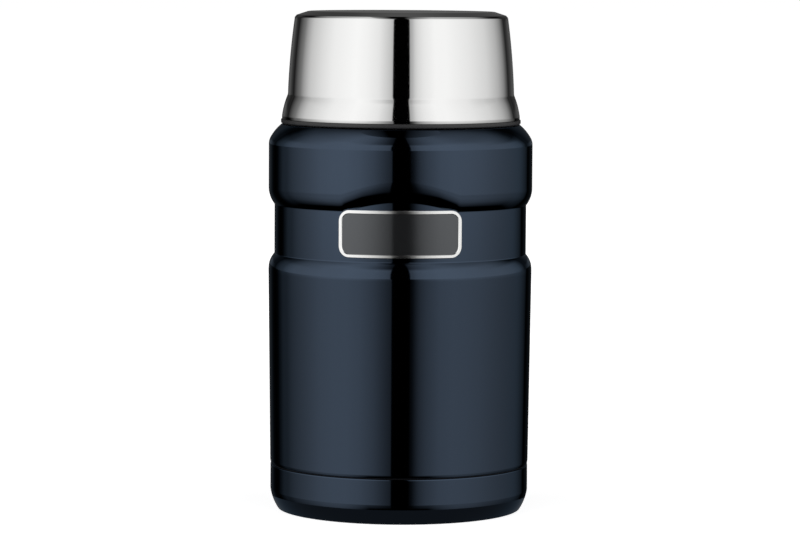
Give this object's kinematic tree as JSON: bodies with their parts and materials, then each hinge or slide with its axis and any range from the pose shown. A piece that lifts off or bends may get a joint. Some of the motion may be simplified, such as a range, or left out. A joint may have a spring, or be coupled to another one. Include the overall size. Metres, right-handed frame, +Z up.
{
  "type": "insulated food jar",
  "caption": "Vacuum-insulated steel food jar with a screw-in stopper and a screw-on steel serving bowl as its lid, an arched relief on its waist band and a base cup.",
  "frame": {"origin": "on the ground in the middle of the base", "axes": "+Z up along the jar's axis, the front with the arched relief towards -Y, +X to the right as seen from the front"},
  "size_m": [0.105, 0.105, 0.1985],
  "materials": {
    "painted_steel": "gloss midnight-blue enamel on steel",
    "polished_steel": "fine circular brushing, nearly polished",
    "bare_steel": "satin",
    "black_plastic": "fine moulded texture",
    "silicone": "satin",
    "foam": "closed-cell foam",
    "foil": "bright copper foil",
    "getter": "pressed powder",
    "solder": "smooth bead"
  },
  "bodies": {
    "jar": {"outer_shell": "painted_steel", "inner_liner": "bare_steel", "heat_foil": "foil", "vacuum_base": "bare_steel", "seal_bead": "solder", "getter": "getter", "getter_strap": "bare_steel", "base_cup": "painted_steel"},
    "stopper_seal": {"stopper_gasket": "silicone"},
    "stopper": {"stopper_plug": "black_plastic", "stopper_cap": "black_plastic", "stopper_foam": "foam"},
    "bowl_edge": {"bowl_rim": "black_plastic"},
    "bowl": {"bowl_shell": "polished_steel", "bowl_liner": "black_plastic"}
  },
  "joints": [
    {"name": "stopper_lift", "type": "slide", "parent": "jar", "child": "stopper_seal", "axis": [0, 0, 1], "range_m": [0, 0.06]},
    {"name": "stopper_turn", "type": "hinge", "parent": "stopper_seal", "child": "stopper", "pos_m": [0, 0, 0.168], "axis": [0, 0, 1], "range_deg": [0, 540]},
    {"name": "bowl_lift", "type": "slide", "parent": "stopper", "child": "bowl_edge", "axis": [0, 0, 1], "range_m": [0, 0.06]},
    {"name": "bowl_turn", "type": "hinge", "parent": "bowl_edge", "child": "bowl", "pos_m": [0, 0, 0.16], "axis": [0, 0, 1], "range_deg": [0, 450]}
  ]
}
